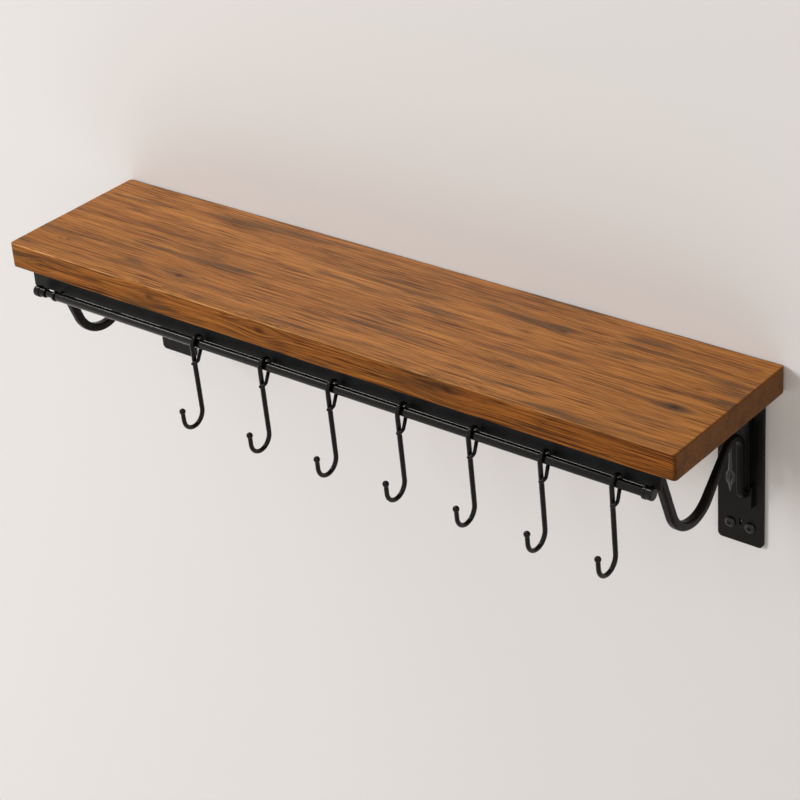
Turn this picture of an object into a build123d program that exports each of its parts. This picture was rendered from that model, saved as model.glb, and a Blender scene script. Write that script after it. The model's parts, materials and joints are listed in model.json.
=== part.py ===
from build123d import *
from math import radians, sin, sqrt
import os

# Wall-mounted pot rack: wood shelf, two scroll brackets, a hanging rail and its hooks.
# Lengths are millimetres. X runs along the shelf, the wall is the plane y = 0 with the
# room on its -Y side, and the origin is the middle of the wall-screw pattern.

# Shelf board
shelf_length = 900
shelf_depth = 203
shelf_thickness = 31
shelf_edge_round = 3

# Wall plates, one behind each bracket, each a little inboard of its arm
plate_offset = 9
plate_width = 54
plate_height = 193
plate_thickness = 4
plate_corner = 5
slot_width = 3
slot_length = 9
slot_rise = 4

# Wall screws, four in each plate
screw_pitch_x = 24
screw_pitch_z = 150
wall_neck = 4.2
wall_thread = 4.8
wall_screw_length = 50
wall_hole_clearance = 0.6
wall_head = 12.5
wall_head_height = 3.6
wall_recess = 5.6

# Board screws, driven up through the support bars
board_neck = 3.4
board_thread = 4
board_screw_length = 24
board_hole_clearance = 0.4
board_head = 8.5
board_head_height = 2.8
board_recess = 4.2
board_screw_inset = 42

# What every screw has: the straight rim of its head, its cross recess and its blunt point
head_rim = 1
recess_slot = 1.3
recess_depth = 1.2
screw_point = 1.2
screw_taper = 4.5

# Bars of the welded frame; each bracket stands in from its end of the board
bracket_inset = 40
arm_bar = 10
arm_bar_round = 2.2
support_bar_width = 25
support_bar_thickness = 5
back_bar_width = 8
back_bar_depth = 6
back_bar_rise = 62
back_bar_drop = 48
back_foot_width = 15
back_foot_height = 26

# Apron bar, on edge under the front of the board
apron_end_inset = 23
apron_height = 22.5
apron_thickness = 3
apron_inset = 9.5
apron_edge_round = 1.4

# Side view of a scroll arm: straight runs joined by bends, measured from the apron's back
# face, the support bar's underside and the back bar's front face
limb_setback = 13.5
bowl_corner_setback = 63.5
bowl_corner_drop = 136
arch_standoff = 11.5
arch_corner_drop = 17.5
foot_drop = 122
bowl_bend = 40
arch_bend = 17
foot_bend = 8

# Turned drop inside the arch of each arm
drop_neck = 3
drop_neck_length = 28
drop_knob = 10
drop_knob_length = 17
drop_collar = 4.6
drop_collar_length = 1.6
drop_tail_length = 7
drop_tail_tip = 1.2

# Hanging rail: past its left eye it is turned down to a neck that carries a finial
rail_diameter = 10
rail_gap = 6.3
rail_drop = 19.8
rail_neck = 8
rail_neck_length = 16
finial_inset = 36.5
finial_knob = 13.4
finial_knob_length = 9
finial_knob_round = 3.4
finial_collar = 11
finial_collar_length = 8.5
ring_width = 3.2
ring_wall = 2
ring_stem = 3
cap_inset = 23.2
cap_diameter = 13.2
cap_length = 7.6
cap_bevel = 1.4
end_wall = 3

# Hooks: wire bent round the rail, a straight shank and a bowl with a ball tip
wire = 5
rail_clearance = 0.3
shank_length = 79.5
shank_lean = 3.5
bowl_radius = 14.9
tip_length = 11.7
tip_lean = 3
tip_ball = 7.2
wrap_gap = 0.6
wrap_bend = 5
tail_drop = 3.5
tail_fall = 13
tail_side_lag = 1.3
tail_side_fall = 2
tail_end_length = 4.6
tail_end_fall = 0.8
tail_end_bend = 3.6
tail_end_round = 1.6

# Places of the hooks along the rail: from the right bracket to the last hook, then hook to hook
hook_end_gap = 26.5
hook_gaps = (84, 87.5, 90.5, 92.5, 94, 98)

# Places that follow from the sizes above
bracket_x = shelf_length / 2 - bracket_inset
plate_x = bracket_x - plate_offset
apron_half = shelf_length / 2 - apron_end_inset
cap_start_x = shelf_length / 2 - cap_inset - cap_length
finial_start_x = finial_inset + finial_knob_length + finial_collar_length - shelf_length / 2
rail_start_x = finial_start_x + rail_neck_length
hook_places = [bracket_x - hook_end_gap]
for gap in hook_gaps:
    hook_places.insert(0, hook_places[0] - gap)
shelf_bottom = plate_height / 2
plate_front = -plate_thickness
back_bar_front = plate_front - back_bar_depth
support_bar_bottom = shelf_bottom - support_bar_thickness
apron_front = apron_inset - shelf_depth
apron_back = apron_front + apron_thickness
rail_y = apron_front - rail_gap - rail_diameter / 2
rail_z = shelf_bottom - rail_drop
sides = {"left": -1, "right": 1}

os.makedirs("parts", exist_ok=True)


def save(shape, name):
    """Label a finished piece and write it under its name."""
    shape.label = name
    export_step(shape, f"parts/{name}.step")


def make_screw(head, head_height, recess, neck, neck_length, thread, length):
    """Pan-head screw, its head's underside at z = 0, with a plain neck and then its thread's outside."""
    with BuildPart() as screw:
        with BuildSketch(Plane.XZ):
            with BuildLine():
                Polyline(
                    (0, -head_height),
                    (0, length),
                    (screw_point / 2, length),
                    (thread / 2, length - screw_taper),
                    (thread / 2, neck_length),
                    (neck / 2, neck_length),
                    (neck / 2, 0),
                    (head / 2, 0),
                    (head / 2, -head_rim),
                )
                TangentArc((0, -head_height), (head / 2, -head_rim), tangent=(1, 0))
            make_face()
        revolve(axis=Axis.Z)
        with Locations((0, 0, -head_height)):
            on_top = (Align.CENTER, Align.CENTER, Align.MIN)
            Box(recess, recess_slot, recess_depth, align=on_top, mode=Mode.SUBTRACT)
            Box(recess_slot, recess, recess_depth, align=on_top, mode=Mode.SUBTRACT)
    return screw


# Shelf board, with pilot holes for the screws that hold it
board_screw_y = (back_bar_front - board_screw_inset, apron_back + board_screw_inset)
with BuildPart() as shelf_board:
    with Locations((0, 0, shelf_bottom)):
        Box(shelf_length, shelf_depth, shelf_thickness, align=(Align.CENTER, Align.MAX, Align.MIN))
    fillet(shelf_board.edges(), shelf_edge_round)
    pilot_depth = board_screw_length - support_bar_thickness
    for side in sides.values():
        for y in board_screw_y:
            with BuildSketch(Plane.XY.offset(shelf_bottom)):
                with Locations((side * bracket_x, y)):
                    Circle(board_thread / 2)
            extrude(amount=pilot_depth, mode=Mode.SUBTRACT)
save(shelf_board.part, "shelf_board")

# Apron bar, with its lower front edge rounded off
with BuildPart() as apron_bar:
    with Locations((0, apron_front, shelf_bottom)):
        Box(2 * apron_half, apron_thickness, apron_height, align=(Align.CENTER, Align.MIN, Align.MAX))
    lower_edges = apron_bar.edges().filter_by(Axis.X).group_by(Axis.Z)[0]
    fillet(lower_edges, apron_edge_round)
save(apron_bar.part, "apron_bar")


def round_bar(start_x, end_x, diameter, mode=Mode.ADD):
    """In the piece being built, a round bar on the rail's axis from one place along it to another."""
    with BuildSketch(Plane((start_x, rail_y, rail_z), x_dir=(0, 1, 0), z_dir=(1, 0, 0))) as section:
        Circle(diameter / 2)
    extrude(section.sketch, amount=end_x - start_x, mode=mode)


# Hanging rail, as long as the bores of its finial and its cap allow
rail_left_x = finial_start_x - finial_collar_length - finial_knob_length + end_wall
rail_right_x = cap_start_x + cap_length - end_wall
with BuildPart() as hanging_rail:
    round_bar(rail_start_x, rail_right_x, rail_diameter)
    round_bar(rail_left_x, rail_start_x, rail_neck)
save(hanging_rail.part, "hanging_rail")

# Cap on the right end
with BuildPart() as rail_cap:
    round_bar(cap_start_x, cap_start_x + cap_length, cap_diameter)
    fillet(rail_cap.edges().sort_by(Axis.X)[-1], cap_bevel)
    round_bar(cap_start_x, rail_right_x, rail_diameter, mode=Mode.SUBTRACT)
save(rail_cap.part, "rail_cap_right")

# Finial on the left end, a collar and then a rounded knob
with BuildPart() as finial:
    knob_start_x = finial_start_x - finial_collar_length
    round_bar(knob_start_x - finial_knob_length, knob_start_x, finial_knob)
    fillet(finial.edges().group_by(Axis.X)[0], finial_knob_round)
    round_bar(knob_start_x, finial_start_x, finial_collar)
    round_bar(rail_left_x, finial_start_x, rail_neck, mode=Mode.SUBTRACT)
save(finial.part, "rail_cap_left")


def make_rail_ring(start_x, bore):
    """Eye round the rail, with a stem back to the apron bar."""
    with BuildPart() as ring:
        round_bar(start_x, start_x + ring_width, bore + 2 * ring_wall)
        with BuildSketch(Plane.XZ.offset(-apron_front)):
            with Locations((start_x + ring_width / 2, rail_z)):
                Circle(ring_stem / 2)
        extrude(amount=apron_front - rail_y)
        round_bar(start_x, start_x + ring_width, bore, mode=Mode.SUBTRACT)
    return ring


# One eye stands against the rail's shoulder and the other against its cap
save(make_rail_ring(rail_start_x - ring_width, rail_neck).part, "rail_ring_left")
save(make_rail_ring(cap_start_x - ring_width, rail_diameter).part, "rail_ring_right")


def make_wall_plate(side):
    """Flat plate on the wall, with four screw holes and a small slot."""
    centre_x = side * plate_x
    with BuildPart() as plate:
        with BuildSketch(Plane.XZ):
            with Locations((centre_x, 0)):
                RectangleRounded(plate_width, plate_height, plate_corner)
                with GridLocations(screw_pitch_x, screw_pitch_z, 2, 2):
                    Circle((wall_thread + wall_hole_clearance) / 2, mode=Mode.SUBTRACT)
            with Locations((centre_x, slot_rise - screw_pitch_z / 2)):
                SlotOverall(slot_length, slot_width, rotation=90, mode=Mode.SUBTRACT)
        extrude(amount=plate_thickness)
    return plate


def make_back_bar(side):
    """Upright on the plate that the arm's foot is welded to, wider at its own foot."""
    bar_x = side * bracket_x
    with BuildPart() as bar:
        with BuildSketch(Plane.XZ.offset(-plate_front)):
            with Locations((bar_x, -back_bar_drop)):
                Rectangle(back_bar_width, back_bar_rise + back_bar_drop, align=(Align.CENTER, Align.MIN))
                Rectangle(back_foot_width, back_foot_height, align=(Align.CENTER, Align.MIN))
        extrude(amount=back_bar_depth)
    return bar


def make_support_bar(side):
    """Flat bar under the board, from the wall plate to the apron bar."""
    bar_x = side * bracket_x
    with BuildPart() as bar:
        with BuildSketch(Plane.XY.offset(support_bar_bottom)):
            with Locations((bar_x, plate_front)):
                Rectangle(support_bar_width, plate_front - apron_back, align=(Align.CENTER, Align.MAX))
            for y in board_screw_y:
                with Locations((bar_x, y)):
                    Circle((board_thread + board_hole_clearance) / 2, mode=Mode.SUBTRACT)
        extrude(amount=support_bar_thickness)
    return bar


# Corners of the arm's side view, before its bends
limb_top = Vector(apron_back + limb_setback, support_bar_bottom)
bowl_corner = Vector(apron_back + bowl_corner_setback, support_bar_bottom - bowl_corner_drop)
arch_corner = Vector(back_bar_front - arch_standoff, support_bar_bottom - arch_corner_drop)
foot_corner = Vector(arch_corner.X, support_bar_bottom - foot_drop)
foot_end = Vector(back_bar_front, foot_corner.Y)


def bend_centre(before, corner, after, bend):
    """Centre of the bend that rounds off a corner between two straight runs."""
    run_in = (before - corner).normalized()
    run_out = (after - corner).normalized()
    half_angle = radians(run_in.get_angle(run_out) / 2)
    return corner + (run_in + run_out).normalized() * (bend / sin(half_angle))


arch_centre = bend_centre(bowl_corner, arch_corner, foot_corner, arch_bend)


def make_scroll_arm(side):
    """Square bar bent down into a bowl, up over an arch and down to the back bar."""
    arm_x = side * bracket_x
    start = limb_top + (limb_top - bowl_corner).normalized() * arm_bar
    corners = [
        (arm_x, corner.X, corner.Y) for corner in (start, bowl_corner, arch_corner, foot_corner, foot_end)
    ]
    down_the_limb = Vector(corners[1]) - Vector(corners[0])
    with BuildPart() as arm:
        with BuildLine() as route:
            FilletPolyline(*corners, radius=[bowl_bend, arch_bend, foot_bend])
        with BuildSketch(Plane(corners[0], x_dir=(1, 0, 0), z_dir=down_the_limb)):
            RectangleRounded(arm_bar, arm_bar, arm_bar_round)
        sweep(path=route.line)
        split(bisect_by=Plane.XY.offset(support_bar_bottom), keep=Keep.BOTTOM)
    return arm


def make_arm_drop(side):
    """Turned drop hanging from the crown of the arm's arch."""
    neck = drop_neck / 2
    collar = drop_collar / 2
    neck_top = arch_centre.Y + sqrt((arch_bend - arm_bar / 2) ** 2 - neck**2)
    knob_top = neck_top - drop_neck_length
    knob_bottom = knob_top - drop_knob_length
    tail_end = knob_bottom - drop_collar_length - drop_tail_length
    drop_plane = Plane((side * bracket_x, arch_centre.X, 0), x_dir=(1, 0, 0), z_dir=(0, -1, 0))
    with BuildPart() as drop:
        with BuildSketch(drop_plane):
            with BuildLine():
                Polyline(
                    (0, neck_top),
                    (neck, neck_top),
                    (neck, knob_top + drop_collar_length),
                    (collar, knob_top + drop_collar_length),
                    (collar, knob_top),
                )
                ThreePointArc(
                    (collar, knob_top),
                    (drop_knob / 2, (knob_top + knob_bottom) / 2),
                    (collar, knob_bottom),
                )
                Polyline(
                    (collar, knob_bottom),
                    (collar, knob_bottom - drop_collar_length),
                    (neck, knob_bottom - drop_collar_length),
                    (drop_tail_tip / 2, tail_end),
                    (0, tail_end),
                    (0, neck_top),
                )
            make_face()
        revolve(axis=Axis(drop_plane.origin, (0, 0, 1)))
    return drop


# Screws of one bracket, set through its plate and its support bar
wall_screw = make_screw(
    wall_head,
    wall_head_height,
    wall_recess,
    wall_neck,
    plate_thickness,
    wall_thread,
    wall_screw_length,
)
board_screw = make_screw(
    board_head,
    board_head_height,
    board_recess,
    board_neck,
    support_bar_thickness,
    board_thread,
    board_screw_length,
)


def make_wall_screws(side):
    """Four screws through the wall plate, their threads standing out behind it."""
    plate_plane = Plane((side * plate_x, plate_front, 0), x_dir=(1, 0, 0), z_dir=(0, 1, 0))
    with BuildPart() as screws:
        with Locations(plate_plane):
            with GridLocations(screw_pitch_x, screw_pitch_z, 2, 2):
                add(wall_screw.part)
    return screws


def make_board_screws(side):
    """Two screws up through the support bar into the board."""
    with BuildPart() as screws:
        with Locations(*[(side * bracket_x, y, support_bar_bottom) for y in board_screw_y]):
            add(board_screw.part)
    return screws


# Both brackets
for name, side in sides.items():
    save(make_wall_plate(side).part, f"wall_plate_{name}")
    save(make_back_bar(side).part, f"back_bar_{name}")
    save(make_support_bar(side).part, f"support_bar_{name}")
    save(make_scroll_arm(side).part, f"scroll_arm_{name}")
    save(make_arm_drop(side).part, f"arm_drop_{name}")
    save(make_wall_screws(side).part, f"wall_screws_{name}")
    save(make_board_screws(side).part, f"board_screws_{name}")

# One hook, round a rail on the X axis, from its ball tip to the tail wrapped beside its shank
loop_radius = (rail_diameter + wire) / 2 + rail_clearance
wrap_radius = wire + wrap_gap
with BuildPart() as hook:
    with BuildLine(Plane.YZ) as route:
        shank = Line((-loop_radius, 0), (shank_lean - loop_radius, -shank_length))
        lean = Vector(0, 0, -1).get_angle(shank % 0)
        bowl = JernArc(shank @ 1, shank % 1, bowl_radius, -(180 + lean - tip_lean))
        tip = Line(bowl @ 1, bowl @ 1 + bowl % 1 * tip_length)
        loop = JernArc(shank @ 0, (shank % 0) * -1, loop_radius, -(180 - lean))
        side_y = -loop_radius + tail_side_lag
        front_y = -loop_radius - wire
        side_z = -tail_drop - tail_fall
        front_z = side_z - tail_side_fall
        tail = FilletPolyline(
            loop @ 1,
            (loop_radius, -tail_drop, 0),
            (side_y, side_z, wrap_radius),
            (front_y, front_z, wrap_radius),
            (front_y, front_z - tail_end_fall, wrap_radius - tail_end_length),
            radius=[wrap_bend, wrap_bend, tail_end_bend],
        )
    with BuildSketch(Plane(tip @ 1, z_dir=tip % 1)):
        Circle(wire / 2)
    sweep(path=route.line)
    fillet(hook.faces().filter_by(GeomType.PLANE).sort_by(Axis.Z)[-1].edges(), tail_end_round)
    with Locations(tip @ 1):
        Sphere(tip_ball / 2)

for number, place in enumerate(hook_places, start=1):
    save(Pos(place, rail_y, rail_z) * hook.part, f"hook_{number}")
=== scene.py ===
# %% [markdown]
# A wall-mounted pot rack: a stained wood shelf on two black iron scroll brackets, with a rail of
# swinging hooks under its front edge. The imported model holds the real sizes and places. This
# lesson dresses it: each piece gets its softer real shape, and each surface the finish of the
# real one. Everything is in metres, in the model's own frame.

import json
from math import ceil, cos, pi, radians, sin, tan

import bmesh
import bpy
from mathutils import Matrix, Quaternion, Vector, noise


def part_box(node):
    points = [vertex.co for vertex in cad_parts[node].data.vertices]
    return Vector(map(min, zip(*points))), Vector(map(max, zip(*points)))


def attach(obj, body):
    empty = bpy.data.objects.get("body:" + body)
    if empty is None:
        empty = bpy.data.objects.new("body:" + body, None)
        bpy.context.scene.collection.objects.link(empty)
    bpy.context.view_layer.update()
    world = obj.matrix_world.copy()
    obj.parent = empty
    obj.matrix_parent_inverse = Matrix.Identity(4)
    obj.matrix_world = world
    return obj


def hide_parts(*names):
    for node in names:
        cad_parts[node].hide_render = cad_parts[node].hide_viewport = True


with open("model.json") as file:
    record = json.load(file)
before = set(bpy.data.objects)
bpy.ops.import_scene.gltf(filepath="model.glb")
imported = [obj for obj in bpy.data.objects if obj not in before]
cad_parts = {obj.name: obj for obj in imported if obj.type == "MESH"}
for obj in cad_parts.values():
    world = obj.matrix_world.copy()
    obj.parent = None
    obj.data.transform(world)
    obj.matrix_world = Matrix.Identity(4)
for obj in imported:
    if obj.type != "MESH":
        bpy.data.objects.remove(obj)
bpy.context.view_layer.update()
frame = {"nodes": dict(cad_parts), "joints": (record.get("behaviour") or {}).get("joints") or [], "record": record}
MM = 0.001
sides = ("left", "right")

# %% [markdown]
# The photograph is taken from the right of the shelf and above it, with a long lens, and it is
# tipped a little. A camera looks along its own -Z axis. So one turn points it against the way
# back from the shelf, and a second one, about its own Z axis, rolls it.

# %% Stand the camera where the photograph was taken
AZIMUTH, ELEVATION, ROLL = radians(40.285), radians(29.514), radians(-4.442)
CAMERA_PLACE = Vector((1.4851, -1.8152, 1.2846))
FOCAL_PIXELS = 2376.9
PHOTO_PIXELS = 800

back = Vector((sin(AZIMUTH) * cos(ELEVATION), -cos(AZIMUTH) * cos(ELEVATION), sin(ELEVATION)))
camera = bpy.data.objects.new("camera", bpy.data.cameras.new("camera"))
camera.data.lens = camera.data.sensor_width * FOCAL_PIXELS / PHOTO_PIXELS
camera.location = CAMERA_PLACE
camera.rotation_mode = "QUATERNION"
camera.rotation_quaternion = (-back).to_track_quat("-Z", "Y") @ Quaternion((0, 0, 1), ROLL)
bpy.context.scene.collection.objects.link(camera)
bpy.context.scene.camera = camera
bpy.context.scene.view_settings.view_transform = "Standard"
print("lens", round(camera.data.lens, 1), "mm")

# %% [markdown]
# Finishes and repeated pieces are both made of nodes. Written out one by one, the nodes hide the
# idea, so two small classes carry them. A Wire wraps a socket, and arithmetic on it adds Math
# nodes, so that a finish reads like a formula. A Graph adds any other node in one call.

# %% Node trees that read like formulas
EULER = 2.718


class Wire:
    """One socket of a node tree. Arithmetic on it adds Math nodes to the tree."""

    def __init__(self, graph, socket):
        self.graph = graph
        self.socket = socket

    def maths(self, operation, *terms):
        return self.graph.node("ShaderNodeMath", {"operation": operation}, *terms)

    def other(self, output):
        return Wire(self.graph, self.socket.node.outputs[output])

    def __add__(self, term):
        return self.maths("ADD", self, term)

    def __radd__(self, term):
        return self.maths("ADD", term, self)

    def __sub__(self, term):
        return self.maths("SUBTRACT", self, term)

    def __rsub__(self, term):
        return self.maths("SUBTRACT", term, self)

    def __mul__(self, term):
        return self.maths("MULTIPLY", self, term)

    def __rmul__(self, term):
        return self.maths("MULTIPLY", term, self)

    def __truediv__(self, term):
        return self.maths("DIVIDE", self, term)

    def __rtruediv__(self, term):
        return self.maths("DIVIDE", term, self)

    def __pow__(self, term):
        return self.maths("POWER", self, term)

    def __rpow__(self, term):
        return self.maths("POWER", term, self)

    def __abs__(self):
        return self.maths("ABSOLUTE", self)

    def root(self):
        return self.maths("SQRT", self)

    def fraction(self):
        return self.maths("FRACT", self)

    def cosine(self):
        return self.maths("COSINE", self)

    def fading(self):
        """From 1 at 0 down towards 0, as e to the power of minus this."""
        return EULER ** (self * -1)

    def least(self, term):
        return self.maths("MINIMUM", self, term)

    def most(self, term):
        return self.maths("MAXIMUM", self, term)

    def ramp(self, low, high):
        """A smooth rise from 0 at low to 1 at high, or a fall from 1 where low is the larger."""
        settings = {"interpolation_type": "SMOOTHSTEP"}
        return self.graph.node("ShaderNodeMapRange", settings, self, low, high, 0.0, 1.0)


class Graph:
    """A node tree, with one method that adds any node to it."""

    def __init__(self, tree):
        self.tree = tree

    def node(self, kind, settings=None, *values, **named):
        """Add a node of that kind: its settings first, then the values or wires of its sockets."""
        made = self.tree.nodes.new(kind)
        for setting, value in (settings or {}).items():
            setattr(made, setting, value)
        for key, value in [*enumerate(values), *named.items()]:
            self.feed(made.inputs[key.replace("_", " ") if isinstance(key, str) else key], value)
        return Wire(self, made.outputs[0])

    def feed(self, socket, value):
        if isinstance(value, Wire):
            self.tree.links.new(value.socket, socket)
        elif value is not None:
            socket.default_value = value

    def vector(self, x, y, z):
        return self.node("ShaderNodeCombineXYZ", None, x, y, z)

    def split(self, vector):
        parts = self.node("ShaderNodeSeparateXYZ", None, vector)
        return parts, parts.other("Y"), parts.other("Z")

    def noise(self, x, y, z, detail=2.0, distortion=0.0):
        return self.node(
            "ShaderNodeTexNoise", None, self.vector(x, y, z), Scale=1.0, Detail=detail, Distortion=distortion
        )


print("node helpers ready")

# %% [markdown]
# A finish is a Graph round a material. Its surface starts from the piece's Object coordinates: a
# Mapping node of the TEXTURE kind centres them on the piece, turns them and makes them
# millimetres, so that every size in a finish is one that can be measured on the real thing.

# %% Finishes
class Finish(Graph):
    """A material under construction round its Principled shader."""

    def __init__(self, name):
        self.material = bpy.data.materials.new(name)
        self.material.use_nodes = True
        super().__init__(self.material.node_tree)
        self.shader = self.tree.nodes["Principled BSDF"]

    def millimetres(self, centre=(0, 0, 0), turn=(0, 0, 0)):
        place = self.node("ShaderNodeTexCoord").other("Object")
        local = self.node(
            "ShaderNodeMapping", {"vector_type": "TEXTURE"}, place, tuple(centre), tuple(turn), (MM, MM, MM)
        )
        return self.split(local)

    def mix(self, factor, first, second, blend="MIX"):
        """Mix two colours, each a wire or plain linear red, green and blue."""
        made = self.tree.nodes.new("ShaderNodeMix")
        made.data_type = "RGBA"
        made.blend_type = blend
        for socket, value in (("Factor_Float", factor), ("A_Color", first), ("B_Color", second)):
            found = next(entry for entry in made.inputs if entry.identifier == socket)
            self.feed(found, (*value, 1) if isinstance(value, tuple) else value)
        return Wire(self, next(entry for entry in made.outputs if entry.identifier == "Result_Color"))

    def set(self, **sockets):
        for name, value in sockets.items():
            self.feed(self.shader.inputs[name.replace("_", " ")], value)

    def bump(self, height, depth_mm):
        """Relief of that depth where height goes from 0 to 1."""
        relief = self.node("ShaderNodeBump", None, Strength=1.0, Distance=depth_mm * MM, Height=height)
        self.set(Normal=relief)


print("finishes start from Object coordinates in millimetres")

# %% [markdown]
# The real rack hangs on a plain wall, so the stage has a wall just behind the plates and a floor
# well below. Both are pale. The wall would hide the rack from behind and darken its back, so it
# shows only from the room side and keeps no light from the rack, but it still takes its shadow.

# %% Wall and floor
WALL_GAP = 0.2 * MM
FLOOR_DROP = 1.3
STAGE_SIZE = 12
WALL_COLOUR = (0.785, 0.774, 0.766)
FLOOR_COLOUR = (0.80, 0.78, 0.76)


def one_sided(name, colour):
    """A dull pale paint that can't be seen from behind."""
    paint = Finish(name)
    paint.set(Base_Color=(*colour, 1), Roughness=1.0, Specular_IOR_Level=0.0)
    behind = paint.node("ShaderNodeNewGeometry").other("Backfacing")
    clear = paint.node("ShaderNodeBsdfTransparent")
    solid = Wire(paint, paint.shader.outputs[0])
    shown = paint.node("ShaderNodeMixShader", None, behind, solid, clear)
    paint.tree.links.new(shown.socket, paint.tree.nodes["Material Output"].inputs["Surface"])
    return paint.material


def stage_plane(name, place, turn, colour):
    """A square of wall or floor, which isn't part of the rack."""
    half = STAGE_SIZE / 2
    mesh = bpy.data.meshes.new(name)
    corners = [(-half, -half, 0), (half, -half, 0), (half, half, 0), (-half, half, 0)]
    mesh.from_pydata(corners, [], [(0, 1, 2, 3)])
    mesh.materials.append(one_sided(name, colour))
    plane = bpy.data.objects.new(name, mesh)
    plane.location = place
    plane.rotation_euler = turn
    bpy.context.scene.collection.objects.link(plane)
    return plane


wall = stage_plane("wall", (0, WALL_GAP, 0), (pi / 2, 0, 0), WALL_COLOUR)
wall.visible_diffuse = False
wall.visible_shadow = False
stage_plane("floor", (0, 0, -FLOOR_DROP), (0, 0, 0), FLOOR_COLOUR)
print("wall and floor", STAGE_SIZE, "m wide")

# %% [markdown]
# The real rack is lit from far to the left, as by a window, in a soft pale room. The window lamp
# gives most of the light and the shadow on the wall. It is left out of reflections, because the
# real rail carries one line of light, and high on it: the reflection of a long, narrow lamp above.
# Two weak lamps open the shadows on the right and at the back. The world lights the rest a
# little warmly, and shows a plain pale colour to the camera and in reflections.

# %% Light
ROOM_COLOUR = (0.82, 0.79, 0.77)
ROOM_LIGHT, ROOM_LIGHT_COLOUR = 0.38, (1.0, 0.91, 0.81)
COOL, WARM = (0.99, 1.0, 1.02), (1.0, 0.99, 0.98)


def soft_box(name, place, target, size, level, colour=(1, 1, 1)):
    """A lamp of that width and height, aimed at a target.

    The level is the share of its own colour that a matt surface shows there.
    """
    lamp = bpy.data.objects.new(name, bpy.data.lights.new(name, "AREA"))
    reach = Vector(target) - Vector(place)
    lamp.data.shape = "RECTANGLE"
    lamp.data.size, lamp.data.size_y = size
    lamp.data.energy = level * (pi * reach.length) ** 2
    lamp.data.color = colour
    lamp.location = place
    lamp.rotation_euler = reach.to_track_quat("-Z", "Y").to_euler()
    bpy.context.scene.collection.objects.link(lamp)
    return lamp


window = soft_box("key", (-5.3, -5.7, 2.7), (0.0, -0.1, -0.1), size=(2.4, 2.4), level=0.60, colour=COOL)
window.visible_glossy = False
soft_box("overhead", (-3.0, -0.35, 4.1), (-1.0, -0.3, 0.0), size=(0.5, 3.6), level=0.50, colour=WARM)
soft_box("fill", (2.4, -2.0, 0.9), (0, -0.1, 0.1), size=(1.6, 1.6), level=0.05)
soft_box("behind", (-1.9, 2.2, 1.3), (0, 0, 0.1), size=(1.2, 1.2), level=0.14)

world = bpy.data.worlds.new("room")
world.use_nodes = True
bpy.context.scene.world = world
room = Graph(world.node_tree)
seen = room.node("ShaderNodeLightPath")
plain = room.node("ShaderNodeBackground", None, (*ROOM_COLOUR, 1), 1.0)
light = room.node("ShaderNodeBackground", None, (*ROOM_LIGHT_COLOUR, 1), ROOM_LIGHT)
seen = seen.most(seen.other("Is Glossy Ray")).most(seen.other("Is Transmission Ray"))
both = room.node("ShaderNodeMixShader", None, seen, light, plain)
room.tree.links.new(both.socket, world.node_tree.nodes["World Output"].inputs["Surface"])
print("four lamps and a room light of", ROOM_LIGHT)

# %% [markdown]
# The shelf is one softwood plank, stained orange-brown under a satin lacquer. Stained softwood
# shows its growth rings as fine dark lines, because the late wood of each year takes more stain.
# A ring is a circle round the tree's heart, so the pattern is a distance from a line below the
# board, bent by slow noise. That gives lines on the faces and arcs on the ends at once, as a
# saw does. Knots push the lines aside and darken the wood, so they come first.

# %% The plank and its knots
board_low, board_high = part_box("shelf_board")
board_centre = (board_low + board_high) / 2
board_size = board_high - board_low
half_long, half_wide, half_thick = board_size / MM / 2
# Each knot of the top: along and across the board from its middle, its half width and its strength
TOP_KNOTS = (
    (401, -26, 3.4, 1.0),
    (402, 16, 2.4, 0.6),
    (-220, -64, 3.0, 0.8),
    (-395, -60, 2.4, 0.7),
    (220, 47, 2.4, 0.8),
    (224, 77, 2.0, 0.5),
    (217, -42, 3.2, 0.6),
    (192, -36, 2.4, 0.5),
)
# Each knot of the front: along and up the board from its middle, its half width and its strength
FRONT_KNOTS = (
    (-231, 3, 4.0, 0.7),
    (-70, 5, 4.6, 0.8),
    (181, 7, 4.4, 0.7),
    (-402, -2, 3.6, 0.5),
)
GRAIN_SLOPE = 0.009
KNOT_PUSH = 0.8
HALO_LONG, HALO_WIDE = 7, 3
CORE_LONG, CORE_WIDE = 2.1, 1.0


def knotted(along, across, deep):
    """The two ways across the grain, bent round the knots, and how near a knot and its halo are."""
    in_front = (across + half_wide).ramp(14.0, 4.0)
    pushed, raised, knot, halo = across + along * GRAIN_SLOPE, deep, 0.0, 0.0
    for knots, place in ((TOP_KNOTS, across), (FRONT_KNOTS, deep)):
        for knot_along, knot_place, half_width, strength in knots:
            off_along = (along - knot_along) / half_width
            off_place = (place - knot_place) / half_width
            near = ((off_along / HALO_LONG) ** 2 + (off_place / HALO_WIDE) ** 2).fading()
            core = ((off_along / CORE_LONG) ** 2 + (off_place / CORE_WIDE) ** 2).fading()
            if place is deep:
                near, core = near * in_front, core * in_front
                raised = raised - off_place * near * (half_width * KNOT_PUSH)
            else:
                pushed = pushed - off_place * near * (half_width * KNOT_PUSH)
            knot = knot + core * strength
            halo = halo + near * strength
    return pushed, raised, knot, halo


print("board", [round(extent / MM) for extent in board_size], "mm,", len(TOP_KNOTS + FRONT_KNOTS), "knots")
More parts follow.
